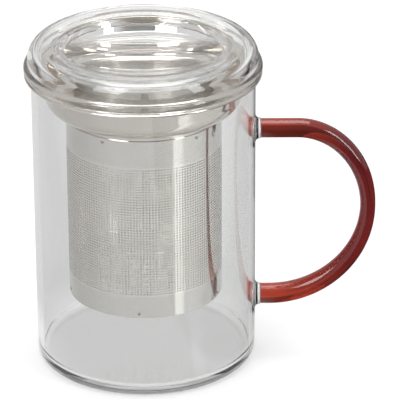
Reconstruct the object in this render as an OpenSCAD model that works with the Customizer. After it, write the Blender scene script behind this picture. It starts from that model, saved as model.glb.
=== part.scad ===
// Lidded glass tea mug with a lift-out steel infuser.
// Frame: millimetres, +Z up, origin at the centre of the mug's flat base.
// The handle stands out along +X; the infuser's seam faces +Y, away from the front.

/* [Mug] */
// Outside diameter of the glass mug
mug_d = 80; // [76:0.5:90]
// Height of the mug's rim above the table
mug_h = 110; // [104:0.5:130]
// Thickness of the glass wall
mug_wall = 2.2; // [1.8:0.1:3]
// Thickness of the glass floor
mug_floor = 3; // [2.4:0.1:5]
// Outside radius of the foot corner
foot_r = 3.4; // [2:0.1:6]
// Inside radius between wall and floor
inner_foot_r = 3; // [1:0.1:5]
// Radius of the fire-polished rim edges
rim_round = 0.9; // [0.4:0.1:1]

/* [Handle] */
// Rod diameter where its upper leg meets the mug
upper_leg_d = 7; // [5.5:0.1:9]
// Rod diameter where its lower leg meets the mug
lower_leg_d = 7.5; // [5.5:0.1:9]
// Rod diameter at the outermost point of the bow
rod_bow_d = 5.5; // [4:0.1:7]
// Distance from the mug wall to the rod's centre at the outermost point
handle_reach = 40.8; // [34:0.1:50]
// Drop from the mug rim to the centre of the upper leg
upper_leg_drop = 22; // [16:0.1:30]
// Height of the centre of the lower leg above the table
lower_leg_z = 21.9; // [16:0.1:30]
// Height of the outermost point above the table
bow_z = 57.5; // [50:0.1:64]
// Straight length of the upper leg, from the mug wall
upper_leg_run = 15; // [8:0.1:22]
// Straight length of the lower leg, from the mug wall
lower_leg_run = 5.1; // [3:0.1:20]

/* [Handle bosses] */
// How far each clear boss stands out of the wall
boss_len = 2; // [1.6:0.1:5]
// How much wider than the rod a boss is at its outer end
boss_lip = 0.6; // [0.2:0.1:1.5]
// Radius of the flare that leads a boss into the wall
boss_flare_r = 1.4; // [0.6:0.1:1.6]

/* [Infuser] */
// Thickness of the collar's pressed steel sheet
collar_sheet = 0.6; // [0.4:0.1:1]
// Thickness of the tube's and base's steel sheet
tube_sheet = 0.4; // [0.3:0.1:0.8]
// Width by which the collar's flange overhangs the mug rim
flange_overhang = 2.4; // [0.5:0.1:3]
// Gap between the mug's inner wall and the collar's cup
cup_gap = 1.6; // [1:0.1:4]
// Height of the collar's cup, from the flange to the shoulder
cup_h = 13.2; // [9:0.1:20]
// Radius of the cup's rounded shoulder
shoulder_r = 6.6; // [4:0.1:8]
// Draft of the cup wall: how much narrower it is at the shoulder
cup_draft = 1; // [0:0.1:2]
// Radius of the bend between the flange and the cup
flange_bend_r = 1; // [0.6:0.1:2]
// Outside diameter of the perforated tube
tube_d = 55.8; // [50:0.1:60]
// Distance from the collar's shoulder to the tube's top edge
neck_show = 2.3; // [1:0.1:5]
// Length of the collar's neck that is inside the tube
neck_lap = 4.6; // [3.5:0.1:8]
// Length of the tube
tube_len = 68.7; // [55:0.1:75]
// Plain band above the perforation
plain_top = 10.6; // [6:0.1:16]
// Plain band below the perforation
plain_bottom = 8.8; // [6:0.1:16]

/* [Perforation] */
// Holes around the tube, the seam's missing column counted
hole_columns = 44; // [24:2:60]
// Rows of holes
hole_rows = 12; // [6:1:20]
// Share of a hole's pitch that is open
hole_open = 0.5; // [0.3:0.05:0.7]

/* [Infuser base] */
// How far the base drops below the tube's lower edge
base_drop = 0.8; // [0.5:0.1:2]
// Height of the base's skirt inside the tube
base_skirt = 4.6; // [3.5:0.1:8]
// Outside radius of the base's corner
base_corner_r = 1.2; // [0.8:0.1:2]
// Pitch of the drain holes in the base
drain_pitch = 5; // [4:0.5:8]
// Side of one square drain hole
drain_side = 2; // [1:0.1:3]

/* [Welds] */
// Spot welds around the tube, at the collar and at the base
weld_count = 5; // [3:1:8]
// Diameter of one spot weld
weld_d = 1.2; // [0.8:0.1:2]
// How far a spot weld stands out of the sheet
weld_proud = 0.15; // [0.1:0.05:0.4]
// Distance of the spot welds from the tube's edge
weld_edge = 1.5; // [1:0.1:3]
// Width of the seam weld along the tube
seam_w = 1; // [0.6:0.1:2]

/* [Lid] */
// How far the lid's flange reaches past the infuser's flange
lid_overhang = 0.1; // [0:0.1:2]
// Thickness of the lid's flange
lid_flange_t = 4; // [3:0.1:5]
// Height of the flat between the flange's rounded edges
lid_edge_flat = 0.4; // [0.2:0.1:1]
// Step from the flange's edge to the drum above it
lid_step = 1.4; // [0.8:0.1:3]
// Height of the lid above the infuser's flange
lid_h = 10.9; // [10.5:0.1:16]
// Outer radius of the lid's rounded crest
crest_r = 5.6; // [4:0.1:6]
// Thickness of the lid's drum wall
lid_wall = 3.4; // [2.4:0.1:4]
// Depth of the dished centre below the crest
dish_depth = 5.9; // [4:0.1:6.3]
// Radius of curvature of the dish
dish_curve_r = 85; // [70:1:95]
// Radius of the fillet between crest and dish
dish_lip_r = 4.6; // [3:0.1:5]
// Height of the hollow ring under the crest
hollow_h = 8.6; // [6:0.1:9]
// Width of the hollow ring, from the drum wall to the plug
hollow_w = 7.5; // [5:0.1:8]
// Radius of the hollow ring's upper corners
hollow_corner_r = 2.2; // [1:0.1:2.4]
// Height of the plug's lower edge above the infuser's flange
plug_lift = 1.7; // [1:0.1:3]
// Radius of the plug's lower edge
plug_edge_r = 0.4; // [0.2:0.1:1]
// How far the plug's underside bulges down at its centre
plug_belly = 0.6; // [0.3:0.1:1]

/* [Hidden] */
fine = 96;
wide_fine = 360;
tiny = 0.01;
past = 1;

mug_r = mug_d / 2;
mug_in_r = mug_r - mug_wall;

// Heights of the stack, from the rim up and from the rim down.
flange_top = mug_h + collar_sheet;
flange_r = mug_r + flange_overhang;
cup_r = mug_in_r - cup_gap;
shoulder_z = flange_top - cup_h;
shoulder_cy = shoulder_z + shoulder_r;
cup_low_r = cup_r - cup_draft;
tube_r = tube_d / 2;
tube_in_r = tube_r - tube_sheet;
tube_top = shoulder_z - neck_show;
tube_bottom = tube_top - tube_len;
base_z = tube_bottom - base_drop;
lid_seat = flange_top;
lid_top = lid_seat + lid_h;
lid_flange_r = flange_r + lid_overhang;
drum_r = lid_flange_r - lid_step;

// Handle.
upper_leg_z = mug_h - upper_leg_drop;
bow_x = mug_r + handle_reach;
rod_start_x = mug_r + boss_len;
rod_sides = 24;
rod_steps = 24;
rod_taper = 1.3;

// Hole pattern.
hole_band = tube_len - plain_top - plain_bottom;
hole_pitch_z = hole_band / hole_rows;
hole_h = hole_pitch_z * hole_open;
hole_w = 2 * PI * tube_r / hole_columns * hole_open;
first_hole_z = tube_bottom + plain_bottom + (hole_pitch_z - hole_h) / 2;
seam_angle = 90;
seam_plain = 1.5 * hole_w;

// Spot welds: the turn of the first one, at the collar and at the base.
collar_weld_turn = 240;
base_weld_turn = 266;
weld_sides = 24;

glass = [0.80, 0.84, 0.84, 0.35];
amber = [0.56, 0.20, 0.15];
steel = [0.70, 0.69, 0.67];
weld_grey = [0.52, 0.51, 0.49];

// ---- Mug ----

// A rectangle with its lower outer corner rounded.
module foot_profile(r, h, corner) {
    difference() {
        square([r, h]);
        translate([r - corner, -tiny]) difference() {
            square([corner + tiny, corner + tiny]);
            translate([0, corner + tiny]) circle(corner, $fn = fine);
        }
    }
}

// The rim's cross-section: a flat top with both edges rounded.
module rim_profile() {
    translate([mug_in_r, 0]) {
        square([mug_wall, mug_h - rim_round]);
        translate([rim_round, 0]) square([mug_wall - 2 * rim_round, mug_h]);
        for (x = [rim_round, mug_wall - rim_round])
            translate([x, mug_h - rim_round]) circle(rim_round, $fn = fine);
    }
}

module mug_body() {
    color(glass) rotate_extrude($fn = fine) {
        difference() {
            foot_profile(mug_r, mug_h - rim_round - past, foot_r);
            translate([0, mug_floor]) foot_profile(mug_in_r, mug_h, inner_foot_r);
        }
        intersection() {
            rim_profile();
            translate([0, mug_h - rim_round - 2 * past]) square([mug_r, 3 * past + rim_round]);
        }
    }
}

// ---- Handle ----

// The rod's centre line: a straight upper leg, two quarter ellipses and a straight lower leg.
function upper_bend(a) = [mug_r + upper_leg_run + (bow_x - mug_r - upper_leg_run) * sin(a),
                          bow_z + (upper_leg_z - bow_z) * cos(a)];
function lower_bend(a) = [mug_r + lower_leg_run + (bow_x - mug_r - lower_leg_run) * sin(a),
                          bow_z - (bow_z - lower_leg_z) * cos(a)];
rod_path = concat(
    [[rod_start_x, upper_leg_z]],
    [for (i = [0 : rod_steps]) upper_bend(90 * i / rod_steps)],
    [for (i = [1 : rod_steps]) lower_bend(90 - 90 * i / rod_steps)],
    [[rod_start_x, lower_leg_z]]);

// The rod is thinnest where the bow stands furthest out.
function rod_share(z, leg_z) = pow((z - bow_z) / (leg_z - bow_z), rod_taper);
function rod_radius(z) = z > bow_z
    ? (rod_bow_d + (upper_leg_d - rod_bow_d) * rod_share(z, upper_leg_z)) / 2
    : (rod_bow_d + (lower_leg_d - rod_bow_d) * rod_share(z, lower_leg_z)) / 2;

// Direction of the path at point i, and the ring of points around it.
function unit(v) = v / norm(v);
function heading(path, i) = i == 0 || i == len(path) - 1
    ? [i == 0 ? 1 : -1, 0]
    : unit(unit(path[i + 1] - path[i]) + unit(path[i] - path[i - 1]));
function ring(path, i, sides) = let (h = heading(path, i), r = rod_radius(path[i][1]))
    [for (k = [0 : sides - 1]) let (a = 360 * k / sides)
        [path[i][0] - h[1] * r * cos(a), r * sin(a), path[i][1] + h[0] * r * cos(a)]];

module swept_rod(path, sides) {
    rings = len(path);
    points = [for (i = [0 : rings - 1]) each ring(path, i, sides)];
    walls = [for (i = [0 : rings - 2], k = [0 : sides - 1]) let (n = (k + 1) % sides)
        each [[i * sides + k, i * sides + n, (i + 1) * sides + n],
              [i * sides + k, (i + 1) * sides + n, (i + 1) * sides + k]]];
    first_cap = [for (k = [0 : sides - 1]) sides - 1 - k];
    last_cap = [for (k = [0 : sides - 1]) (rings - 1) * sides + k];
    polyhedron(points, concat(walls, [first_cap, last_cap]), convexity = 6);
}

module handle_rod() {
    color(amber) swept_rod(rod_path, rod_sides);
}

// A clear pad of glass that flares from the rod to the wall, seated on the wall's curve.
module boss(z, leg_d) {
    end_r = (leg_d + boss_lip) / 2;
    foot = end_r + boss_flare_r;
    sink = mug_r - sqrt(mug_r * mug_r - foot * foot) + past;
    color(glass) difference() {
        translate([0, 0, z]) rotate([0, 90, 0]) rotate_extrude($fn = fine) {
            translate([0, mug_r - sink]) square([end_r, boss_len + sink]);
            difference() {
                translate([0, mug_r - sink]) square([foot, sink + boss_flare_r]);
                translate([foot, mug_r + boss_flare_r]) circle(boss_flare_r, $fn = fine);
            }
        }
        cylinder(r = mug_r, h = mug_h, $fn = wide_fine);
    }
}

module upper_handle_boss() { boss(upper_leg_z, upper_leg_d); }
module lower_handle_boss() { boss(lower_leg_z, lower_leg_d); }

// ---- Infuser ----

// Half cross-section of the collar's cup and neck, shrunk by inset for its inner face.
module cup_profile(inset, top, bottom) {
    polygon([[0, shoulder_cy], [cup_low_r - inset, shoulder_cy], [cup_r - inset, flange_top],
             [cup_r - inset, top], [0, top]]);
    translate([cup_low_r - shoulder_r, shoulder_cy]) circle(shoulder_r - inset, $fn = fine);
    translate([0, shoulder_z + inset]) square([cup_low_r - shoulder_r, shoulder_r]);
    translate([0, bottom]) square([tube_in_r - inset, shoulder_z + collar_sheet + inset - bottom]);
}

module infuser_collar() {
    neck_end = tube_top - neck_lap;
    bend_x = cup_r + flange_bend_r;
    bend_z = mug_h - flange_bend_r;
    edge_x = flange_r - collar_sheet / 2;
    color(steel) rotate_extrude($fn = fine) difference() {
        union() {
            intersection() {
                cup_profile(0, flange_top, neck_end);
                square([mug_r, flange_top]);
            }
            translate([cup_low_r, mug_h]) square([edge_x - cup_low_r, collar_sheet]);
            translate([edge_x, mug_h + collar_sheet / 2]) circle(d = collar_sheet, $fn = fine);
            difference() {
                translate([cup_low_r, bend_z]) square([bend_x - cup_low_r, flange_bend_r + tiny]);
                translate([bend_x, bend_z]) circle(flange_bend_r, $fn = fine);
            }
        }
        intersection() {
            cup_profile(collar_sheet, flange_top + past, neck_end - past);
            square([mug_r, flange_top + past]);
        }
        difference() {
            translate([cup_r - collar_sheet - tiny, bend_z])
                square([flange_bend_r + collar_sheet + tiny, flange_bend_r + collar_sheet + tiny]);
            translate([bend_x, bend_z]) circle(flange_bend_r + collar_sheet, $fn = fine);
        }
    }
}

// One row of holes: bars through the axis, which leave two opposite holes each.
module hole_row() {
    linear_extrude(hole_h) difference() {
        for (i = [0 : hole_columns / 2 - 1]) rotate(180 * i / (hole_columns / 2))
            square([2 * tube_r + 2 * past, hole_w], center = true);
        rotate(seam_angle) translate([tube_r, 0]) square([2 * past, seam_plain], center = true);
    }
}

module infuser_tube() {
    color(steel) difference() {
        translate([0, 0, tube_bottom]) cylinder(r = tube_r, h = tube_len, $fn = fine);
        translate([0, 0, tube_bottom - past]) cylinder(r = tube_in_r, h = tube_len + 2 * past, $fn = fine);
        for (k = [0 : hole_rows - 1])
            translate([0, 0, first_hole_z + k * hole_pitch_z]) hole_row();
    }
}

// The bead along the tube's butt seam, on the side away from the front.
module tube_seam_weld() {
    color(weld_grey) difference() {
        intersection() {
            translate([0, 0, tube_bottom]) cylinder(r = tube_r + weld_proud, h = tube_len, $fn = fine);
            rotate(seam_angle) translate([0, -seam_w / 2, tube_bottom]) cube([mug_r, seam_w, tube_len]);
        }
        translate([0, 0, tube_bottom - past]) cylinder(r = tube_r, h = tube_len + 2 * past, $fn = fine);
    }
}

// Square drain holes on a grid, inside the flat of the base.
module drain_holes() {
    reach = floor((tube_in_r - 2 * base_corner_r - drain_side) / drain_pitch);
    limit = tube_in_r - 2 * base_corner_r - drain_side;
    for (i = [-reach : reach], j = [-reach : reach])
        if (norm([i, j]) * drain_pitch < limit)
            translate([i * drain_pitch, j * drain_pitch]) square(drain_side, center = true);
}

module infuser_base() {
    top = tube_bottom + base_skirt;
    color(steel) difference() {
        translate([0, 0, base_z]) rotate_extrude($fn = fine) difference() {
            foot_profile(tube_in_r, top - base_z, base_corner_r);
            translate([0, tube_sheet])
                foot_profile(tube_in_r - tube_sheet, top - base_z, base_corner_r - tube_sheet);
        }
        translate([0, 0, base_z - past]) linear_extrude(3 * past) drain_holes();
    }
}

// A ring of spot welds: discs that stand on the tube's outer face.
module spot_welds(z, turn) {
    color(weld_grey) difference() {
        for (i = [0 : weld_count - 1]) rotate(turn + 360 * i / weld_count)
            translate([tube_r - past, 0, z]) rotate([0, 90, 0])
                cylinder(d = weld_d, h = past + weld_proud, $fn = weld_sides);
        translate([0, 0, tube_bottom - past])
            cylinder(r = tube_r, h = tube_len + 2 * past, $fn = wide_fine);
    }
}

module collar_spot_welds() { spot_welds(tube_top - weld_edge, collar_weld_turn); }
module base_spot_welds() { spot_welds(tube_bottom + weld_edge, base_weld_turn); }

// ---- Lid ----

// The dish is an arc about (0, dish_cz); a fillet about (lip_x, lip_z) leads it over the crest.
dish_cz = lid_top - dish_depth + dish_curve_r;
lip_z = lid_top - dish_lip_r;
lip_x = sqrt(pow(dish_curve_r + dish_lip_r, 2) - pow(dish_cz - lip_z, 2));
lip_meet_x = lip_x * dish_curve_r / (dish_curve_r + dish_lip_r);
lip_meet_z = dish_cz - (dish_cz - lip_z) * dish_curve_r / (dish_curve_r + dish_lip_r);
crest_x = drum_r - crest_r;

// The plug is the thick centre; its underside is an arc of belly_r.
plug_r = drum_r - lid_wall - hollow_w;
plug_z = lid_seat + plug_lift;
plug_flat_r = plug_r - plug_edge_r;
belly_r = (pow(plug_flat_r, 2) + pow(plug_belly, 2)) / (2 * plug_belly);

// Outside of the flange, the drum and the crest, solid to the axis.
module lid_outside() {
    edge_r = (lid_flange_t - lid_edge_flat) / 2;
    translate([0, lid_seat]) {
        square([lid_flange_r - edge_r, lid_flange_t]);
        translate([0, edge_r]) square([lid_flange_r, lid_edge_flat]);
        for (z = [edge_r, lid_flange_t - edge_r])
            translate([lid_flange_r - edge_r, z]) circle(edge_r, $fn = fine);
        square([drum_r, lid_h - crest_r]);
        square([crest_x, lid_h]);
        translate([crest_x, lid_h - crest_r]) circle(crest_r, $fn = fine);
    }
}

// The dished centre and the fillet that leads it over the crest.
module lid_dish() {
    intersection() {
        translate([0, dish_cz]) circle(dish_curve_r, $fn = 2 * fine);
        square([lip_meet_x, lid_top + past]);
    }
    difference() {
        translate([lip_meet_x, lip_meet_z]) square([lip_x - lip_meet_x, lid_top + past - lip_meet_z]);
        translate([lip_x, lip_z]) circle(dish_lip_r, $fn = fine);
    }
}

// The hollow ring between the drum wall and the plug.
module lid_hollow() {
    translate([plug_r, lid_seat]) {
        translate([0, -past]) square([hollow_w, hollow_h - hollow_corner_r + past]);
        translate([hollow_corner_r, 0]) square([hollow_w - 2 * hollow_corner_r, hollow_h]);
        for (x = [hollow_corner_r, hollow_w - hollow_corner_r])
            translate([x, hollow_h - hollow_corner_r]) circle(hollow_corner_r, $fn = fine);
    }
}

// The space under the plug, which stands clear of the infuser's flange.
module lid_underside() {
    difference() {
        translate([0, lid_seat - past]) square([plug_r + tiny, past + plug_lift + plug_edge_r]);
        translate([0, plug_z]) square([plug_flat_r, plug_edge_r + tiny]);
        translate([plug_flat_r, plug_z + plug_edge_r]) circle(plug_edge_r, $fn = fine);
        intersection() {
            translate([0, plug_z - plug_belly + belly_r]) circle(belly_r, $fn = wide_fine);
            translate([0, lid_seat]) square([plug_flat_r, plug_lift + tiny]);
        }
    }
}

module lid() {
    color(glass) rotate_extrude($fn = fine) difference() {
        lid_outside();
        lid_dish();
        lid_hollow();
        lid_underside();
    }
}

mug_body();
handle_rod();
upper_handle_boss();
lower_handle_boss();
infuser_collar();
infuser_tube();
tube_seam_weld();
infuser_base();
collar_spot_welds();
base_spot_welds();
lid();
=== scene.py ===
"""A glass tea mug with a steel infuser and a glass lid, dressed for a studio picture.

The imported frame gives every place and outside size. The turned and swept pieces are made again
here as smooth glass and steel, and the infuser's tube gets its fine grid of holes. The handle
points along +X and the camera looks from -Y. Lengths are in metres.
"""

import math

import bmesh
import bpy
from bpy.props import FloatProperty, FloatVectorProperty, IntProperty, PointerProperty
from bpy.types import Operator, Panel, PropertyGroup
from mathutils import Matrix, Vector


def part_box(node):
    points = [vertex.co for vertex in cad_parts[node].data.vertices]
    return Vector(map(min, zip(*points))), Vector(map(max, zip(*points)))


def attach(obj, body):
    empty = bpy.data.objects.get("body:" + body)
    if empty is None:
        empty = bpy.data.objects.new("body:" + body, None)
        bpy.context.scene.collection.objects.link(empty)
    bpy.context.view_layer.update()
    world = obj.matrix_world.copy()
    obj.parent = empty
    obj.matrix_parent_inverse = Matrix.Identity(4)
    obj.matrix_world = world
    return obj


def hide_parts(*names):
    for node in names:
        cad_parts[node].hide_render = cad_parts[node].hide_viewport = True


bl_info = {
    "name": "Infuser tea mug",
    "version": (1, 0, 0),
    "blender": (4, 5, 0),
    "location": "3D View > Sidebar > Tea mug",
    "description": "Builds a glass tea mug, its steel infuser and its lid round the packed frame",
    "category": "Add Mesh",
}

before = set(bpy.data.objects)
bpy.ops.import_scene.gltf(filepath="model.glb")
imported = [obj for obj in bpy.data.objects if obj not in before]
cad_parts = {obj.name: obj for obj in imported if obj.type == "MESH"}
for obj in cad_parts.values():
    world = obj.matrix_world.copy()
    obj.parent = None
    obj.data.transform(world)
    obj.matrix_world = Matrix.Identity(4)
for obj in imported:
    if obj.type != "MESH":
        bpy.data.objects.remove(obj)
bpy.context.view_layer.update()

MM = 0.001
ROUND = 256  # flats round a turned piece
SHARP = math.radians(40)  # edges that turn by more than this stay sharp
SAME = 1e-7  # points closer than this are one

# ---- Sizes that the frame gives ----

mug_low, mug_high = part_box("mug_body")
rod_low, rod_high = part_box("handle_rod")
upper_low, upper_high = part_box("upper_handle_boss")
lower_low, lower_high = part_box("lower_handle_boss")
collar_low, collar_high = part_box("infuser_collar")
tube_low, tube_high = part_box("infuser_tube")
lid_low, lid_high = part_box("lid")

mug_r = mug_high.x
mug_h = mug_high.z
upper_leg_z = (upper_low.z + upper_high.z) / 2
lower_leg_z = (lower_low.z + lower_high.z) / 2
tube_r = tube_high.x
lid_r = lid_high.x


# ---- Settings ----


def length(name, description, default):
    """A size in metres that a user may change."""
    return FloatProperty(name=name, description=description, default=default, min=0, max=0.2, unit="LENGTH")


def amount(name, description, default, low=0.0, high=1.0):
    """A plain number that a user may change."""
    return FloatProperty(name=name, description=description, default=default, min=low, max=high)


def whole(name, description, default, low, high):
    """A whole number that a user may change."""
    return IntProperty(name=name, description=description, default=default, min=low, max=high)


def colour(name, description, default):
    """A colour that a user may change."""
    return FloatVectorProperty(
        name=name, description=description, default=default, size=3, min=0, max=1, subtype="COLOR"
    )


class CupSettings(PropertyGroup):
    """The glass mug."""

    wall: length("Wall", "Thickness of the mug's glass wall", 2.2 * MM)
    floor: length("Floor", "Thickness of the mug's glass floor", 3 * MM)
    foot_corner: length("Foot corner", "Outside radius between wall and foot", 3.4 * MM)
    inner_corner: length("Inner corner", "Inside radius between wall and floor", 3 * MM)
    rim_round: length("Rim round", "Radius of the fire-polished rim edges", 0.9 * MM)
    # Most of this grey is painted shade: clear glass is nearly colourless, and the tint darkens what shows
    # through the mug
    glass: colour("Glass", "Colour of the mug's clear glass", (0.84, 0.845, 0.84))
    depth_tint: amount("Depth tint", "How much a metre of the mug's glass darkens", 5, 0, 500)
    wave: length("Wave", "Depth of the slow waves that hand-blown glass has", 0.01 * MM)


class HandleSettings(PropertyGroup):
    """The amber loop handle and the clear bosses that carry it."""

    upper_leg_d: length("Upper leg", "Rod diameter where its upper leg meets the mug", 7 * MM)
    lower_leg_d: length("Lower leg", "Rod diameter where its lower leg meets the mug", 7.5 * MM)
    bow_d: length("Bow diameter", "Rod diameter where the bow stands furthest out", 5.5 * MM)
    taper: amount("Taper", "How late the rod thickens towards its legs", 1.3, 0.5, 3)
    bow_z: length("Bow height", "Height of the outermost point above the table", 57.5 * MM)
    upper_run: length("Upper run", "Straight length of the upper leg", 15 * MM)
    lower_run: length("Lower run", "Straight length of the lower leg", 5.1 * MM)
    boss_lip: length("Boss lip", "How much wider than the rod a boss is at its end", 0.6 * MM)
    boss_bead: length("Boss bead", "Radius of the boss's rounded end", 0.5 * MM)
    boss_sink: length("Boss sink", "How deep a boss is fused into the wall", 1.2 * MM)
    gap: length("Gap", "Hairline between a boss and the rod's end", 0.03 * MM)
    amber: colour("Amber", "Colour of the amber glass at the legs", (0.43, 0.050, 0.026))
    # Painted shade: the glass is made deeper red towards the bow, where the rod is thinnest, to darken it
    painted_bow_shade: colour("Deep amber", "Colour of the amber glass at the bow", (0.13, 0.009, 0.010))
    bow_shade_starts: length("Deepens at", "Distance from the axis where the amber starts to deepen", 48 * MM)
    bow_shade_full: length("Deep at", "Distance from the axis where the amber is deepest", 76 * MM)
    streaks: amount("Streaks", "How much streaks in the glass shift its colour", 0.12)


class InfuserSettings(PropertyGroup):
    """The steel collar, tube and base."""

    collar_sheet: length("Collar sheet", "Thickness of the collar's steel", 0.6 * MM)
    tube_sheet: length("Tube sheet", "Thickness of the tube's steel", 0.4 * MM)
    cup_gap: length("Cup gap", "Gap between the mug's inner wall and the collar's cup", 1.6 * MM)
    cup_h: length("Cup height", "Height from the flange to the shoulder", 13.2 * MM)
    cup_draft: length("Cup draft", "How much narrower the cup is at the shoulder", 1 * MM)
    shoulder: length("Shoulder", "Radius of the cup's rounded shoulder", 6.6 * MM)
    bend: length("Flange bend", "Radius of the bend between flange and cup", 1 * MM)
    columns: whole("Hole columns", "Columns of holes that would go round the tube", 160, 24, 162)
    rows: whole("Hole rows", "Rows of holes", 49, 6, 50)
    seam_columns: whole("Seam columns", "Columns left plain at the seam", 3, 1, 9)
    hole_margin: length("Hole margin", "Steel between a hole's edge and its cell's edge", 0.34 * MM)
    plain_top: length("Plain top", "Plain band above the holes", 10.6 * MM)
    plain_bottom: length("Plain bottom", "Plain band below the holes", 8.8 * MM)
    steel: colour("Steel", "Colour of the tube's stainless sheet", (0.69, 0.675, 0.645))
    # The perforated band's steel is a little brighter than the plain sheet's
    band_steel: colour("Etched steel", "Colour of the perforated band", (0.76, 0.745, 0.71))
    collar: colour("Collar steel", "Colour of the collar's stainless sheet", (0.67, 0.63, 0.59))
    weld: colour("Weld metal", "Colour of the dull weld metal", (0.50, 0.48, 0.45))


class LidSettings(PropertyGroup):
    """The pressed glass lid."""

    flange_t: length("Flange", "Thickness of the lid's flange", 4 * MM)
    edge: length("Flange edge", "Radius of the flange's edges", 1.8 * MM)
    step: length("Step", "Step from the flange's edge to the drum", 1.4 * MM)
    notch: length("Notch", "Radius in the notch between flange and drum", 0.4 * MM)
    crest: length("Crest", "Outer radius of the rounded crest", 5.6 * MM)
    wall: length("Wall", "Thickness of the lid's drum wall", 3.4 * MM)
    dish_depth: length("Dish depth", "Depth of the dished centre below the crest", 5.9 * MM)
    dish_curve: length("Dish curve", "Radius of curvature of the dish", 85 * MM)
    lip: length("Lip", "Radius between crest and dish", 4.6 * MM)
    hollow_h: length("Hollow height", "Height of the hollow ring under the crest", 8.6 * MM)
    hollow_w: length("Hollow width", "Width of the hollow ring", 7.5 * MM)
    hollow_corner: length("Hollow corner", "Radius of the hollow ring's upper corners", 2.2 * MM)
    plug_lift: length("Plug lift", "Height of the plug's edge above the infuser's flange", 1.7 * MM)
    plug_edge: length("Plug edge", "Radius of the plug's lower edge", 0.4 * MM)
    plug_belly: length("Plug belly", "How far the plug's underside bulges down", 0.6 * MM)
    glass: colour("Glass", "Colour of the lid's clear glass", (0.97, 0.975, 0.97))
    depth_tint: amount("Depth tint", "How much a metre of the lid's glass darkens", 6, 0, 500)


class StageSettings(PropertyGroup):
    """The floor, the surroundings and the lamps."""

    floor_gap: length("Floor gap", "Hairline between the mug's foot and the floor", 0.03 * MM)
    floor_white: amount("Floor white", "Share of plain white in the floor that the camera sees", 0.5)
    floor_refracted: amount("Floor refracted", "The same share in the floor that glass refracts", 0.8)
    # Painted dark reflection: this share darkens the floor beside the mug for reflection rays, where no card
    # stands
    card: amount("Card", "How much of the floor beside the mug a dark card hides from reflections", 0.9)
    flag_grey: amount("Flag grey", "Brightness of the upper part of the card behind the handle", 0.25)
    horizon: amount("Horizon", "Brightness of the room round the horizon", 0.72, 0, 2)
    overhead: amount("Overhead", "Brightness of the room overhead", 0.8, 0, 2)
    front_grey: amount("Front grey", "Share of that brightness where the camera stands", 0.3)
    lamp_power: amount("Lamp power", "Factor on every lamp", 0.85, 0, 10)
    pitch: FloatProperty(
        name="Pitch", description="How far the camera looks down", default=math.radians(24.83),
        min=0, max=1.5, subtype="ANGLE",
    )


# ---- Mesh helpers ----


def add_piece(bm, name):
    """Makes a smooth-shaded object of a finished bmesh."""
    mesh = bpy.data.meshes.new(name)
    bm.to_mesh(mesh)
    bm.free()
    mesh.shade_smooth()
    mesh.set_sharp_from_angle(angle=SHARP)
    piece = bpy.data.objects.new(name, mesh)
    bpy.context.scene.collection.objects.link(piece)
    return piece


def weld(bm):
    """Joins doubled points and turns every face outwards."""
    bmesh.ops.remove_doubles(bm, verts=bm.verts, dist=SAME)
    bmesh.ops.dissolve_degenerate(bm, edges=bm.edges, dist=SAME)
    bmesh.ops.recalc_face_normals(bm, faces=bm.faces)


class Outline:
    """Half of a round piece's cross-section, drawn in the XZ plane from one end to the other."""

    guard = 0.1 * MM  # length of the guards that line() adds

    def __init__(self, x, z):
        self.bm = bmesh.new()
        self.start = self.tip = self.bm.verts.new((x, 0, z))

    def line(self, x, z):
        """Draws a straight line to (x, z).

        A short guard at either end keeps the smooth shading of the arcs off the straight part, which
        would bend the light in glass. There is none at the axis.
        """
        start, end = self.tip.co.copy(), Vector((x, 0, z))
        step = (end - start).normalized() * self.guard
        if (end - start).length > 4 * self.guard:
            if start.x > self.guard:
                self.join(start + step)
            if end.x > self.guard:
                self.join(end - step)
        self.join(end)
        return self

    def join(self, place):
        """Adds one point."""
        end = self.bm.verts.new(place)
        self.bm.edges.new((self.tip, end))
        self.tip = end

    def arc(self, x, z, degrees, steps=10):
        """Carries the line on round (x, z). Positive degrees turn from +X towards +Z."""
        swept = bmesh.ops.spin(
            self.bm, geom=[self.tip], cent=(x, 0, z), axis=(0, -1, 0),
            angle=math.radians(degrees), steps=steps,
        )
        self.tip = swept["geom_last"][0]
        return self

    def close(self):
        """Joins the last point to the first."""
        self.bm.edges.new((self.tip, self.start))
        return self

    def turned(self):
        """Spins the outline round the Z axis and gives the closed bmesh."""
        bm = self.bm
        bmesh.ops.spin(
            bm, geom=bm.verts[:] + bm.edges[:], cent=(0, 0, 0), axis=(0, 0, 1),
            angle=math.tau, steps=ROUND, use_merge=True,
        )
        weld(bm)
        return bm


def fuse(piece, other):
    """Makes one closed glass body of two, and removes the second."""
    joining = piece.modifiers.new("fuse", "BOOLEAN")
    joining.operation = "UNION"
    joining.solver = "EXACT"
    joining.object = other
    depsgraph = bpy.context.evaluated_depsgraph_get()
    mesh = bpy.data.meshes.new_from_object(piece.evaluated_get(depsgraph))
    piece.modifiers.clear()
    piece.data = mesh
    bpy.data.objects.remove(other)


def hand_over(piece, body, material, slot, *nodes):
    """Gives a finished piece its material and body, and lets it stand for its CAD nodes."""
    piece.data.materials.append(material)
    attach(piece, body)
    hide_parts(*nodes)


# ---- Materials ----


def new_material(name, base, metallic=0.0, roughness=0.5, transmission=0.0, ior=1.5):
    """A Principled material, with the numbers that are the same all over set on its sockets."""
    material = bpy.data.materials.new(name)
    material.use_nodes = True
    shader = material.node_tree.nodes["Principled BSDF"]
    shader.inputs["Base Color"].default_value = (*base, 1)
    shader.inputs["Metallic"].default_value = metallic
    shader.inputs["Roughness"].default_value = roughness
    shader.inputs["Transmission Weight"].default_value = transmission
    shader.inputs["IOR"].default_value = ior
    return material, shader


def coordinates(tree, kind="Object"):
    """The place of the shaded point, as one vector and split by axis."""
    place = tree.nodes.new("ShaderNodeTexCoord").outputs[kind]
    parts = tree.nodes.new("ShaderNodeSeparateXYZ")
    tree.links.new(place, parts.inputs["Vector"])
    return place, parts.outputs


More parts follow.
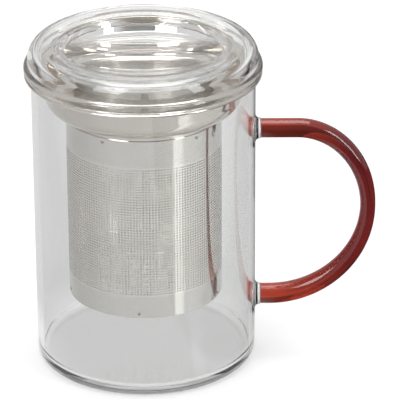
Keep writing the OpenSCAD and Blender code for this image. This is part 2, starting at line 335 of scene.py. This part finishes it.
def noise(tree, scale, detail=2, stretch=(1, 1, 1)):
    """A noise pattern on the piece's own coordinates, drawn out where stretch is below 1."""
    place = tree.nodes.new("ShaderNodeTexCoord")
    mapping = tree.nodes.new("ShaderNodeMapping")
    mapping.inputs["Scale"].default_value = stretch
    pattern = tree.nodes.new("ShaderNodeTexNoise")
    pattern.inputs["Scale"].default_value = scale
    pattern.inputs["Detail"].default_value = detail
    tree.links.new(place.outputs["Object"], mapping.inputs["Vector"])
    tree.links.new(mapping.outputs["Vector"], pattern.inputs["Vector"])
    return pattern.outputs["Fac"]


def bump(tree, shader, height, depth):
    """Raises the surface by depth times the height pattern."""
    relief = tree.nodes.new("ShaderNodeBump")
    relief.inputs["Distance"].default_value = depth
    tree.links.new(height, relief.inputs["Height"])
    tree.links.new(relief.outputs["Normal"], shader.inputs["Normal"])


def ramp(tree, value, start, end, low, high):
    """Carries a value from low at start to high at end, and holds it beyond them."""
    between = tree.nodes.new("ShaderNodeMapRange")
    between.inputs["From Min"].default_value = start
    between.inputs["From Max"].default_value = end
    between.inputs["To Min"].default_value = low
    between.inputs["To Max"].default_value = high
    tree.links.new(value, between.inputs["Value"])
    return between.outputs["Result"]


def spread(tree, pattern, low, high):
    """Carries the usual range of a noise pattern to low and high."""
    return ramp(tree, pattern, 0.3, 0.7, low, high)


def combine(tree, operation, first, second):
    """Joins two values, or a value and a plain number, by one Math operation."""
    node = tree.nodes.new("ShaderNodeMath")
    node.operation = operation
    for value, socket in zip((first, second), node.inputs):
        if isinstance(value, (int, float)):
            socket.default_value = value
        else:
            tree.links.new(value, socket)
    return node.outputs["Value"]


def mix_colours(tree, shader, share, first, second):
    """Colours a surface with share of the second colour and the rest of the first."""
    tint = tree.nodes.new("ShaderNodeMixRGB")
    tint.inputs["Color1"].default_value = (*first, 1)
    tint.inputs["Color2"].default_value = (*second, 1)
    tree.links.new(share, tint.inputs["Fac"])
    tree.links.new(tint.outputs["Color"], shader.inputs["Base Color"])


def mix_shaders(tree, share, first, second):
    """Shows share of the second shader and the rest of the first."""
    mix = tree.nodes.new("ShaderNodeMixShader")
    for value, socket in zip((share, first, second), mix.inputs):
        tree.links.new(value, socket)
    tree.links.new(mix.outputs["Shader"], tree.nodes["Material Output"].inputs["Surface"])


def absorb(tree, depth_tint):
    """Darkens glass by its thickness: a metre of it lets exp(-depth_tint) of the light through."""
    depth = tree.nodes.new("ShaderNodeVolumeAbsorption")
    depth.inputs["Color"].default_value = (0.5, 0.5, 0.5, 1)
    depth.inputs["Density"].default_value = 2 * depth_tint
    tree.links.new(depth.outputs["Volume"], tree.nodes["Material Output"].inputs["Volume"])


def clear_glass(settings, name, wave):
    """Clear fire-polished glass with slow waves in its surface."""
    material, shader = new_material(name, settings.glass, roughness=0.0, transmission=1.0, ior=1.47)
    tree = material.node_tree
    absorb(tree, settings.depth_tint)
    bump(tree, shader, noise(tree, scale=45), wave)
    return material


def amber_glass(settings):
    """Solid amber glass with streaks drawn out along the rod, and painted shade that turns it deeper red
    towards the bow.
    """
    material, shader = new_material("amber_glass_rod", settings.amber, roughness=0.0, transmission=1.0)
    tree = material.node_tree
    _, at = coordinates(tree)
    # Painted shade: the amber turns to the deeper red between these distances from the axis
    depth = ramp(tree, at["X"], settings.bow_shade_starts, settings.bow_shade_full, 0, 1)
    streaks = noise(tree, scale=90, detail=3, stretch=(0.35, 1, 0.35))
    depth = combine(tree, "ADD", depth, spread(tree, streaks, -settings.streaks, settings.streaks))
    mix_colours(tree, shader, depth, settings.amber, settings.painted_bow_shade)
    bump(tree, shader, streaks, depth=0.006 * MM)
    return material


def steel(tint, name, low, high, stretch, relief):
    """Stainless sheet with fine working marks, which vary its roughness from low to high."""
    material, shader = new_material(name, tint, metallic=1.0, roughness=low)
    tree = material.node_tree
    marks = noise(tree, scale=900, detail=4, stretch=stretch)
    tree.links.new(spread(tree, marks, low, high), shader.inputs["Roughness"])
    bump(tree, shader, marks, relief)
    return material, shader


def hole_band(settings):
    """The lowest and highest height of the perforation."""
    return tube_low.z + settings.plain_bottom, tube_high.z - settings.plain_top


def tube_steel(settings):
    """The tube's sheet, a little brighter in the band that holds the holes."""
    material, shader = steel(
        settings.steel, "brushed_steel_tube", low=0.07, high=0.13, stretch=(1, 1, 0.05), relief=0.0003 * MM
    )
    tree = material.node_tree
    _, at = coordinates(tree)
    band_low, band_high = hole_band(settings)
    lower = ramp(tree, at["Z"], band_low - MM, band_low, 0, 1)
    upper = ramp(tree, at["Z"], band_high, band_high + MM, 1, 0)
    mix_colours(tree, shader, combine(tree, "MINIMUM", lower, upper), settings.steel, settings.band_steel)
    return material


def weld_metal(settings):
    """Dull weld metal with fine ripples."""
    material, shader = new_material("weld_metal", settings.weld, metallic=1.0, roughness=0.4)
    tree = material.node_tree
    ripples = noise(tree, scale=1200, detail=3)
    tree.links.new(spread(tree, ripples, low=0.3, high=0.55), shader.inputs["Roughness"])
    bump(tree, shader, ripples, depth=0.04 * MM)
    return material


# ---- Pieces ----


class TEAMUG_OT_cup(Operator):
    """Turn the glass mug and fuse the two handle bosses to its wall"""

    bl_idname = "tea_mug.cup"
    bl_label = "Glass mug"

    def execute(self, context):
        cup = context.scene.tea_cup
        handle = context.scene.tea_handle
        outer, inner = mug_r, mug_r - cup.wall
        rim, foot, corner = cup.rim_round, cup.foot_corner, cup.inner_corner
        outline = Outline(0, 0)
        outline.line(outer - foot, 0).arc(outer - foot, foot, 90)
        # Loops clear of the bosses keep their joins from bending the light in the rest of the wall
        for boss_low, boss_high in ((lower_low.z, lower_high.z), (upper_low.z, upper_high.z)):
            outline.line(outer, boss_low - MM / 2).line(outer, boss_high + MM / 2)
        outline.line(outer, mug_h - rim).arc(outer - rim, mug_h - rim, 90)
        outline.line(inner + rim, mug_h).arc(inner + rim, mug_h - rim, 90)
        outline.line(inner, cup.floor + corner).arc(inner - corner, cup.floor + corner, -90)
        outline.line(0, cup.floor)
        mug = add_piece(outline.turned(), "glass_mug")
        for box_low, box_high, leg_d in (
            (upper_low, upper_high, handle.upper_leg_d),
            (lower_low, lower_high, handle.lower_leg_d),
        ):
            fuse(mug, self.boss(handle, box_low, box_high, leg_d))
        hand_over(
            mug, "mug", clear_glass(cup, "clear_glass_mug", cup.wave), "clear_glass",
            "mug_body", "upper_handle_boss", "lower_handle_boss",
        )
        return {"FINISHED"}

    def boss(self, handle, box_low, box_high, leg_d):
        """A pad of glass that flares from the rod's end to the wall."""
        foot = (box_high.z - box_low.z) / 2
        lip = (leg_d + handle.boss_lip) / 2
        flare = foot - lip
        wall, end, bead = mug_r, box_high.x, handle.boss_bead
        outline = Outline(0, wall - handle.boss_sink)
        outline.line(foot, wall - handle.boss_sink).line(foot, wall)
        outline.arc(foot, wall + flare, -90).line(lip, end - bead).arc(lip - bead, end - bead, 90)
        outline.line(0, end)
        bm = outline.turned()
        place = Matrix.Translation((0, 0, (box_low.z + box_high.z) / 2))
        bmesh.ops.transform(bm, matrix=place @ Matrix.Rotation(math.pi / 2, 4, "Y"), verts=bm.verts)
        return add_piece(bm, "handle_boss")


class TEAMUG_OT_handle(Operator):
    """Sweep the amber rod along its loop"""

    bl_idname = "tea_mug.handle"
    bl_label = "Amber handle"

    sides = 64  # flats round the rod
    steps = 64  # rings along each quarter of its bend

    def execute(self, context):
        handle = context.scene.tea_handle
        path = self.path(handle)
        bm = bmesh.new()
        bmesh.ops.create_circle(bm, cap_ends=True, segments=self.sides, radius=1)
        ring = bm.faces[:]
        placed = Matrix.Identity(4)
        for i, point in enumerate(path):
            before, after = path[max(i - 1, 0)], path[min(i + 1, len(path) - 1)]
            heading = (after - before).normalized()
            across = Vector((0, 1, 0))
            r = self.radius(handle, point.z)
            turn = Matrix((across, heading.cross(across), heading)).transposed().to_4x4()
            there = Matrix.Translation(point) @ turn @ Matrix.Scale(r, 4)
            if i:
                made = bmesh.ops.extrude_face_region(bm, geom=ring)
                ring = [g for g in made["geom"] if isinstance(g, bmesh.types.BMFace)]
                if i > 1:  # the first ring stays, as the rod's end
                    bmesh.ops.delete(bm, geom=previous, context="FACES")
            previous = ring
            corners = {v for face in ring for v in face.verts}
            bmesh.ops.transform(bm, matrix=there @ placed.inverted(), verts=list(corners))
            placed = there
        weld(bm)
        rod = add_piece(bm, "amber_handle")
        hand_over(rod, "mug", amber_glass(handle), "amber_glass", "handle_rod")
        return {"FINISHED"}

    def path(self, handle):
        """The rod's centre line: a straight leg, two quarter ellipses and a straight leg."""
        bow_x = rod_high.x - handle.bow_d / 2
        start = Vector((rod_low.x + handle.gap, 0, upper_leg_z))
        end = Vector((rod_low.x + handle.gap, 0, lower_leg_z))
        points = [start]
        for leg_z, run, angles in (
            (upper_leg_z, handle.upper_run, range(self.steps + 1)),
            (lower_leg_z, handle.lower_run, range(self.steps - 1, -1, -1)),
        ):
            bend_x = mug_r + run
            for i in angles:
                a = math.pi / 2 * i / self.steps
                x = bend_x + (bow_x - bend_x) * math.sin(a)
                points.append(Vector((x, 0, handle.bow_z + (leg_z - handle.bow_z) * math.cos(a))))
        return points + [end]

    def radius(self, handle, z):
        """Half the rod's diameter, least at the bow."""
        leg_z, leg_d = lower_leg_z, handle.lower_leg_d
        if z > handle.bow_z:
            leg_z, leg_d = upper_leg_z, handle.upper_leg_d
        share = min(1, (z - handle.bow_z) / (leg_z - handle.bow_z))
        return (handle.bow_d + (leg_d - handle.bow_d) * share**handle.taper) / 2


class TEAMUG_OT_collar(Operator):
    """Press the infuser's polished steel collar"""

    bl_idname = "tea_mug.collar"
    bl_label = "Steel collar"

    def execute(self, context):
        infuser = context.scene.tea_infuser
        sheet, bend, shoulder = infuser.collar_sheet, infuser.bend, infuser.shoulder
        top = collar_high.z
        edge = collar_high.x - sheet / 2
        cup = mug_r - context.scene.tea_cup.wall - infuser.cup_gap
        low_cup = cup - infuser.cup_draft
        shoulder_z = top - infuser.cup_h
        turn_z = shoulder_z + shoulder
        neck = tube_r - infuser.tube_sheet
        outline = Outline(edge, top - sheet)
        outline.line(cup + bend, top - sheet).arc(cup + bend, top - sheet - bend, 90)
        outline.line(low_cup, turn_z).arc(low_cup - shoulder, turn_z, -90, steps=16)
        outline.line(neck, shoulder_z).line(neck, collar_low.z)
        outline.line(neck - sheet, collar_low.z).line(neck - sheet, shoulder_z + sheet)
        outline.line(low_cup - shoulder, shoulder_z + sheet).arc(low_cup - shoulder, turn_z, 90, steps=16)
        outline.line(cup - sheet, top - sheet - bend).arc(cup + bend, top - sheet - bend, -90)
        outline.line(edge, top).arc(edge, top - sheet / 2, -180).close()
        collar = add_piece(outline.turned(), "steel_collar")
        finish, _ = steel(
            infuser.collar, "polished_steel_collar",
            low=0.05, high=0.09, stretch=(0.06, 0.06, 1), relief=0.0003 * MM,
        )
        hand_over(collar, "infuser", finish, "polished_steel", "infuser_collar")
        return {"FINISHED"}


class TEAMUG_OT_tube(Operator):
    """Roll the infuser's tube from sheet with a fine grid of square holes"""

    bl_idname = "tea_mug.tube"
    bl_label = "Perforated tube"

    def execute(self, context):
        infuser = context.scene.tea_infuser
        turn = math.tau / infuser.columns
        plain = infuser.seam_columns
        bm = bmesh.new()
        strip = self.strip(infuser, True)
        self.repeat(bm, strip, infuser.columns - plain, math.pi / 2 + turn * (plain + 1) / 2, turn)
        strip = self.strip(infuser, False)
        self.repeat(bm, strip, plain, math.pi / 2 - turn * (plain - 1) / 2, turn)
        bmesh.ops.remove_doubles(bm, verts=bm.verts, dist=0.01 * MM)
        bmesh.ops.recalc_face_normals(bm, faces=bm.faces)
        bmesh.ops.solidify(bm, geom=bm.verts[:] + bm.edges[:] + bm.faces[:], thickness=infuser.tube_sheet)
        weld(bm)
        tube = add_piece(bm, "perforated_tube")
        hand_over(tube, "infuser", tube_steel(infuser), "brushed_steel", "infuser_tube")
        return {"FINISHED"}

    def strip(self, infuser, holes):
        """One column of the sheet, flat and upright, facing +X at the tube's radius."""
        band_low, band_high = hole_band(infuser)
        width = 2 * tube_r * math.sin(math.pi / infuser.columns)
        facing = tube_r * math.cos(math.pi / infuser.columns)
        centre = Matrix.Translation((facing, 0, (band_low + band_high) / 2))
        upright = Matrix(((0, 0, 1, 0), (1, 0, 0, 0), (0, 1, 0, 0), (0, 0, 0, 1)))
        place = centre @ upright @ Matrix.Diagonal((width, band_high - band_low, 1, 1))
        bm = bmesh.new()
        bmesh.ops.create_grid(bm, x_segments=1, y_segments=infuser.rows, size=0.5, matrix=place)
        cells = bm.faces[:]
        ends = [e for e in bm.edges if e.is_boundary and abs(e.verts[0].co.z - e.verts[1].co.z) < SAME]
        for edge in ends:
            upper = edge.verts[0].co.z > (band_low + band_high) / 2
            run = infuser.plain_top if upper else -infuser.plain_bottom
            made = bmesh.ops.extrude_edge_only(bm, edges=[edge])["geom"]
            moved = [g for g in made if isinstance(g, bmesh.types.BMVert)]
            bmesh.ops.translate(bm, vec=(0, 0, run), verts=moved)
        if holes:
            bmesh.ops.inset_individual(bm, faces=cells, thickness=infuser.hole_margin)
            bmesh.ops.delete(bm, geom=cells, context="FACES")
        mesh = bpy.data.meshes.new("strip")
        bm.to_mesh(mesh)
        bm.free()
        return mesh

    def repeat(self, bm, strip, count, first, turn):
        """Adds a strip count times, each one column further round."""
        known = len(bm.verts)
        bm.from_mesh(strip)
        bm.verts.ensure_lookup_table()
        verts = bm.verts[known:]
        bmesh.ops.rotate(bm, cent=(0, 0, 0), matrix=Matrix.Rotation(first, 3, "Z"), verts=verts)
        edges = {e for v in verts for e in v.link_edges}
        faces = {f for v in verts for f in v.link_faces}
        if count > 1:
            bmesh.ops.spin(
                bm, geom=[*verts, *edges, *faces], cent=(0, 0, 0), axis=(0, 0, 1),
                angle=turn * (count - 1), steps=count - 1, use_duplicate=True,
            )
        bpy.data.meshes.remove(strip)


class TEAMUG_OT_trim(Operator):
    """Give the infuser's base and welds their finish"""

    bl_idname = "tea_mug.trim"
    bl_label = "Base and welds"

    def execute(self, context):
        infuser = context.scene.tea_infuser
        base, _ = steel(
            infuser.steel, "brushed_steel_base", low=0.22, high=0.32, stretch=(1, 0.05, 1), relief=0.003 * MM
        )
        self.dress("infuser_base", base)
        bead = weld_metal(infuser)
        for node in ("tube_seam_weld", "collar_spot_welds", "base_spot_welds"):
            self.dress(node, bead)
        return {"FINISHED"}

    def dress(self, node, material):
        """Puts a material on a CAD node that stays as it is."""
        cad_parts[node].material_slots[0].material = material


class TEAMUG_OT_lid(Operator):
    """Press the dished glass lid"""

    bl_idname = "tea_mug.lid"
    bl_label = "Glass lid"

    def execute(self, context):
        lid = context.scene.tea_lid
        top, seat = lid_high.z, lid_low.z
        drum, edge_x = lid_r - lid.step, lid_r - lid.edge
        edge_z = seat + lid.flange_t - lid.edge
        notch_x = drum + lid.notch
        notch_z = edge_z + math.sqrt((lid.edge + lid.notch) ** 2 - (notch_x - edge_x) ** 2)
        notch_turn = math.degrees(math.atan2(notch_z - edge_z, notch_x - edge_x))
        outline = self.dish(lid)
        outline.line(drum - lid.crest, top).arc(drum - lid.crest, top - lid.crest, -90, steps=16)
        outline.line(drum, notch_z).arc(notch_x, notch_z, notch_turn)
        outline.arc(edge_x, edge_z, -notch_turn)
        outline.line(lid_r, seat + lid.edge).arc(edge_x, seat + lid.edge, -90)
        self.underside(lid, outline, drum - lid.wall, seat)
        piece = add_piece(outline.turned(), "glass_lid")
        glass = clear_glass(lid, "clear_glass_lid", context.scene.tea_cup.wave)
        hand_over(piece, "lid", glass, "clear_glass", "lid")
        return {"FINISHED"}

    def dish(self, lid):
        """The dished centre and the fillet that leads it over the crest."""
        top = lid_high.z
        curve, lip = lid.dish_curve, lid.lip
        dish_z, lip_z = top - lid.dish_depth + curve, top - lip
        lip_x = math.sqrt((curve + lip) ** 2 - (dish_z - lip_z) ** 2)
        tilt = math.degrees(math.asin(lip_x / (curve + lip)))
        outline = Outline(0, dish_z - curve)
        return outline.arc(0, dish_z, tilt, steps=24).arc(lip_x, lip_z, -tilt, steps=12)

    def underside(self, lid, outline, wall, seat):
        """The hollow ring inside the drum wall and the plug's bellied underside."""
        corner, edge, belly = lid.hollow_corner, lid.plug_edge, lid.plug_belly
        hollow = seat + lid.hollow_h
        plug, plug_z = wall - lid.hollow_w, seat + lid.plug_lift
        outline.line(wall, seat).line(wall, hollow - corner).arc(wall - corner, hollow - corner, 90)
        outline.line(plug + corner, hollow).arc(plug + corner, hollow - corner, 90)
        outline.line(plug, plug_z + edge).arc(plug - edge, plug_z + edge, -90)
        flat = plug - edge
        curve = (flat**2 + belly**2) / (2 * belly)
        outline.arc(0, plug_z - belly + curve, -math.degrees(math.asin(flat / curve)), steps=24)


# ---- Stage ----


def aimed(place, target):
    """A matrix at place that looks at target with -Z."""
    turn = (Vector(target) - Vector(place)).to_track_quat("-Z", "Y").to_matrix().to_4x4()
    return Matrix.Translation(place) @ turn


class TEAMUG_OT_stage(Operator):
    """Set the white floor, the grey card, the pale room, the lamps and the camera"""

    bl_idname = "tea_mug.stage"
    bl_label = "Studio"

    # Name, place, width, height and watts of each lamp
    LAMPS = (
        ("key_lamp", (-0.5, -0.7, 0.7), 0.5, 0.5, 6),
        ("side_lamp", (0.7, -0.5, 0.4), 0.2, 0.7, 4),
        ("top_lamp", (0, 0.1, 0.9), 0.6, 0.6, 6),
    )
    # Brightness of the floor that steel and glass show, by its bearing in degrees: 0 lies in front
    # and 90 on the handle's side. It is painted reflection: the floor glows up to twice its white at
    # 45 to 56, which paints the tube's upright highlight, and is darker at other bearings, which paints
    # dark reflections. The bearings are taken from BEARING_POINT, and fade in over BEARING_FADE, a
    # range of distances from the mug's axis.
    PAINTED_REFLECTIONS = {
        -172: 1.0, -160: 0.75, -105: 0.68, -50: 0.9, 0: 0.95, 42: 1.0, 45: 2.0,
        56: 1.9, 64: 1.2, 90: 1.1, 120: 0.9, 135: 0.85, 165: 0.85, 172: 1.0,
    }
    BEARING_POINT = (12 * MM, -25 * MM)
    BEARING_FADE = (45 * MM, 70 * MM)
    BRIGHTEST = 2
    # Where the room turns from horizon to overhead, as heights on a unit sphere, and where the
    # dark patch round the camera starts and is full, as cosines
    ROOM_RISE = (0.25, 0.75)
    ROOM_FRONT = (0.82, 0.92)
    BOUNCES = 32

    def execute(self, context):
        scene = context.scene
        stage = scene.tea_stage
        self.floor(stage)
        self.flag(stage)
        self.room(scene, stage)
        for name, place, width, height, watts in self.LAMPS:
            self.lamp(scene, name, place, width, height, watts * stage.lamp_power)
        self.camera(scene, stage)
        scene.view_settings.view_transform = "Standard"
        for bounces in ("max_bounces", "glossy_bounces", "transmission_bounces"):
            setattr(scene.cycles, bounces, self.BOUNCES)
        return {"FINISHED"}

    def floor(self, stage):
        """A white floor that keeps the mug's soft shadow, and paints highlights and dark reflections on
        steel and glass.
        """
        bm = bmesh.new()
        under = Matrix.Translation((0, 0, -stage.floor_gap))
        bmesh.ops.create_grid(bm, x_segments=1, y_segments=1, size=2, matrix=under)
        floor = add_piece(bm, "studio_floor")
        material, shader = new_material("floor_white", (0.9, 0.9, 0.9), roughness=0.6)
        tree = material.node_tree
        white = tree.nodes.new("ShaderNodeEmission")
        rays = tree.nodes.new("ShaderNodeLightPath").outputs
        camera = combine(tree, "MULTIPLY", rays["Is Camera Ray"], stage.floor_white)
        refracted = combine(tree, "MULTIPLY", rays["Is Transmission Ray"], stage.floor_refracted)
        share = combine(tree, "MAXIMUM", camera, refracted)
        share = combine(tree, "MAXIMUM", share, rays["Is Reflection Ray"])
        _, at = coordinates(tree)
        # Painted dark reflection: reflection rays see the floor beyond the mug's side darker by the card's
        # share
        beside = ramp(tree, at["X"], mug_r, mug_r + 10 * MM, 0, stage.card)
        painted_dark_share = combine(tree, "MULTIPLY", rays["Is Reflection Ray"], beside)
        # Painted reflections: steel and glass see the floor glow brighter or darker by its bearing
        shown = combine(tree, "MULTIPLY", self.bearing(tree), combine(tree, "SUBTRACT", 1, painted_dark_share))
        tree.links.new(combine(tree, "MAXIMUM", rays["Is Camera Ray"], shown), white.inputs["Strength"])
        mix_shaders(tree, share, shader.outputs["BSDF"], white.outputs["Emission"])
        floor.data.materials.append(material)

    def flag(self, stage):
        """A grey card behind the handle, which shows only through a single piece of glass.

        It gives the amber rod its dark core. What is seen through both walls of the mug, which is
        after four refractions, passes through the card.
        """
        width, height, back, light_foot = 32 * MM, 300 * MM, 130 * MM, 80 * MM
        bm = bmesh.new()
        place = Matrix.Translation((mug_r + width / 2, back, height / 2))
        upright = place @ Matrix.Rotation(math.pi / 2, 4, "X") @ Matrix.Diagonal((width, height, 1, 1))
        bmesh.ops.create_grid(bm, x_segments=1, y_segments=1, size=0.5, matrix=upright)
        flag = add_piece(bm, "handle_flag")
        for rays in ("camera", "diffuse", "glossy", "shadow"):
            setattr(flag, "visible_" + rays, False)
        material = bpy.data.materials.new("flag_grey")
        material.use_nodes = True
        tree = material.node_tree
        grey = tree.nodes.new("ShaderNodeEmission")
        _, at = coordinates(tree)
        strength = ramp(tree, at["Z"], 0, light_foot, 2 * stage.flag_grey, stage.flag_grey)
        tree.links.new(strength, grey.inputs["Strength"])
        clear = tree.nodes.new("ShaderNodeBsdfTransparent")
        depth = tree.nodes.new("ShaderNodeLightPath").outputs["Transmission Depth"]
        single = combine(tree, "LESS_THAN", depth, 3)
        mix_shaders(tree, single, clear.outputs["BSDF"], grey.outputs["Emission"])
        flag.data.materials.append(material)

    def bearing(self, tree):
        """The floor's brightness by its bearing, which is 1 by the mug's foot: painted highlights and
        painted dark reflections.
        """
        place, at = coordinates(tree)
        away = tree.nodes.new("ShaderNodeVectorMath")
        away.operation = "LENGTH"
        tree.links.new(place, away.inputs[0])
        x, y = self.BEARING_POINT
        side = combine(tree, "SUBTRACT", at["X"], x)
        front = combine(tree, "SUBTRACT", y, at["Y"])
        turn = combine(tree, "ARCTAN2", side, front)
        strip = tree.nodes.new("ShaderNodeFloatCurve")
        curve = strip.mapping.curves[0]
        for degrees, brightness in self.PAINTED_REFLECTIONS.items():
            point = curve.points.new((degrees + 180) / 360, brightness / self.BRIGHTEST)
            point.handle_type = "VECTOR"
        plain = 1 / self.BRIGHTEST
        curve.points[0].location = (0, plain)
        curve.points[-1].location = (1, plain)
        strip.mapping.update()
        tree.links.new(ramp(tree, turn, -math.pi, math.pi, 0, 1), strip.inputs["Value"])
        change = combine(tree, "SUBTRACT", strip.outputs["Value"], plain)
        faded = ramp(tree, away.outputs["Value"], *self.BEARING_FADE, 0, self.BRIGHTEST)
        return combine(tree, "ADD", combine(tree, "MULTIPLY", change, faded), 1)

    def room(self, scene, stage):
        """Plain white to the camera, and elsewhere pale, with a dark patch where the camera stands."""
        world = bpy.data.worlds.new("pale_room")
        world.use_nodes = True
        scene.world = world
        tree = world.node_tree
        sky = tree.nodes["Background"]
        direction, at = coordinates(tree, "Generated")
        height = ramp(tree, at["Z"], *self.ROOM_RISE, stage.horizon, stage.overhead)
        facing = tree.nodes.new("ShaderNodeVectorMath")
        facing.operation = "DOT_PRODUCT"
        facing.inputs[1].default_value = (0, -math.cos(stage.pitch), math.sin(stage.pitch))
        tree.links.new(direction, facing.inputs[0])
        shade = ramp(tree, facing.outputs["Value"], *self.ROOM_FRONT, 1, stage.front_grey)
        bright = combine(tree, "MULTIPLY", height, shade)
        rays = tree.nodes.new("ShaderNodeLightPath").outputs
        tree.links.new(combine(tree, "MAXIMUM", bright, rays["Is Camera Ray"]), sky.inputs["Strength"])
        sky.inputs["Color"].default_value = (1, 1, 1, 1)

    def lamp(self, scene, name, place, width, height, watts):
        """One soft rectangular lamp that looks at the middle of the mug."""
        data = bpy.data.lights.new(name, "AREA")
        data.shape = "RECTANGLE"
        data.size = width
        data.size_y = height
        data.energy = watts
        lamp = bpy.data.objects.new(name, data)
        lamp.matrix_world = aimed(place, (0, 0, mug_h / 2))
        scene.collection.objects.link(lamp)

    def camera(self, scene, stage):
        """A long lens that looks down on the mug and its handle, as in the photo."""
        target, distance, roll, lens = Vector((0.0200, 0, 0.0596)), 1.0985, -0.0045, 272.97
        data = bpy.data.cameras.new("photo_camera")
        data.sensor_width = 36
        data.lens = lens
        data.clip_start = 0.05
        camera = bpy.data.objects.new("photo_camera", data)
        turn = Matrix.Rotation(math.pi / 2 - stage.pitch, 4, "X") @ Matrix.Rotation(roll, 4, "Z")
        back = turn.to_3x3() @ Vector((0, 0, distance))
        camera.matrix_world = Matrix.Translation(target + back) @ turn
        scene.collection.objects.link(camera)
        scene.camera = camera


# ---- Add-on ----

GROUPS = {
    "tea_cup": CupSettings,
    "tea_handle": HandleSettings,
    "tea_infuser": InfuserSettings,
    "tea_lid": LidSettings,
    "tea_stage": StageSettings,
}
OPERATORS = (
    TEAMUG_OT_cup,
    TEAMUG_OT_handle,
    TEAMUG_OT_collar,
    TEAMUG_OT_tube,
    TEAMUG_OT_trim,
    TEAMUG_OT_lid,
    TEAMUG_OT_stage,
)


class TEAMUG_PT_build(Panel):
    """Lists the mug's pieces and their settings"""

    bl_idname = "TEAMUG_PT_build"
    bl_label = "Tea mug"
    bl_space_type = "VIEW_3D"
    bl_region_type = "UI"
    bl_category = "Tea mug"

    def draw(self, context):
        for operator in OPERATORS:
            self.layout.operator(operator.bl_idname)
        for name, group in GROUPS.items():
            box = self.layout.box()
            for setting in group.__annotations__:
                box.prop(getattr(context.scene, name), setting)


CLASSES = (*GROUPS.values(), *OPERATORS, TEAMUG_PT_build)


def register():
    for cls in CLASSES:
        bpy.utils.register_class(cls)
    for name, group in GROUPS.items():
        setattr(bpy.types.Scene, name, PointerProperty(type=group))


def unregister():
    for name in GROUPS:
        delattr(bpy.types.Scene, name)
    for cls in reversed(CLASSES):
        bpy.utils.unregister_class(cls)


def main():
    register()
    bpy.ops.tea_mug.cup()
    bpy.ops.tea_mug.handle()
    bpy.ops.tea_mug.collar()
    bpy.ops.tea_mug.tube()
    bpy.ops.tea_mug.trim()
    bpy.ops.tea_mug.lid()
    bpy.ops.tea_mug.stage()


if __name__ == "__main__":
    main()
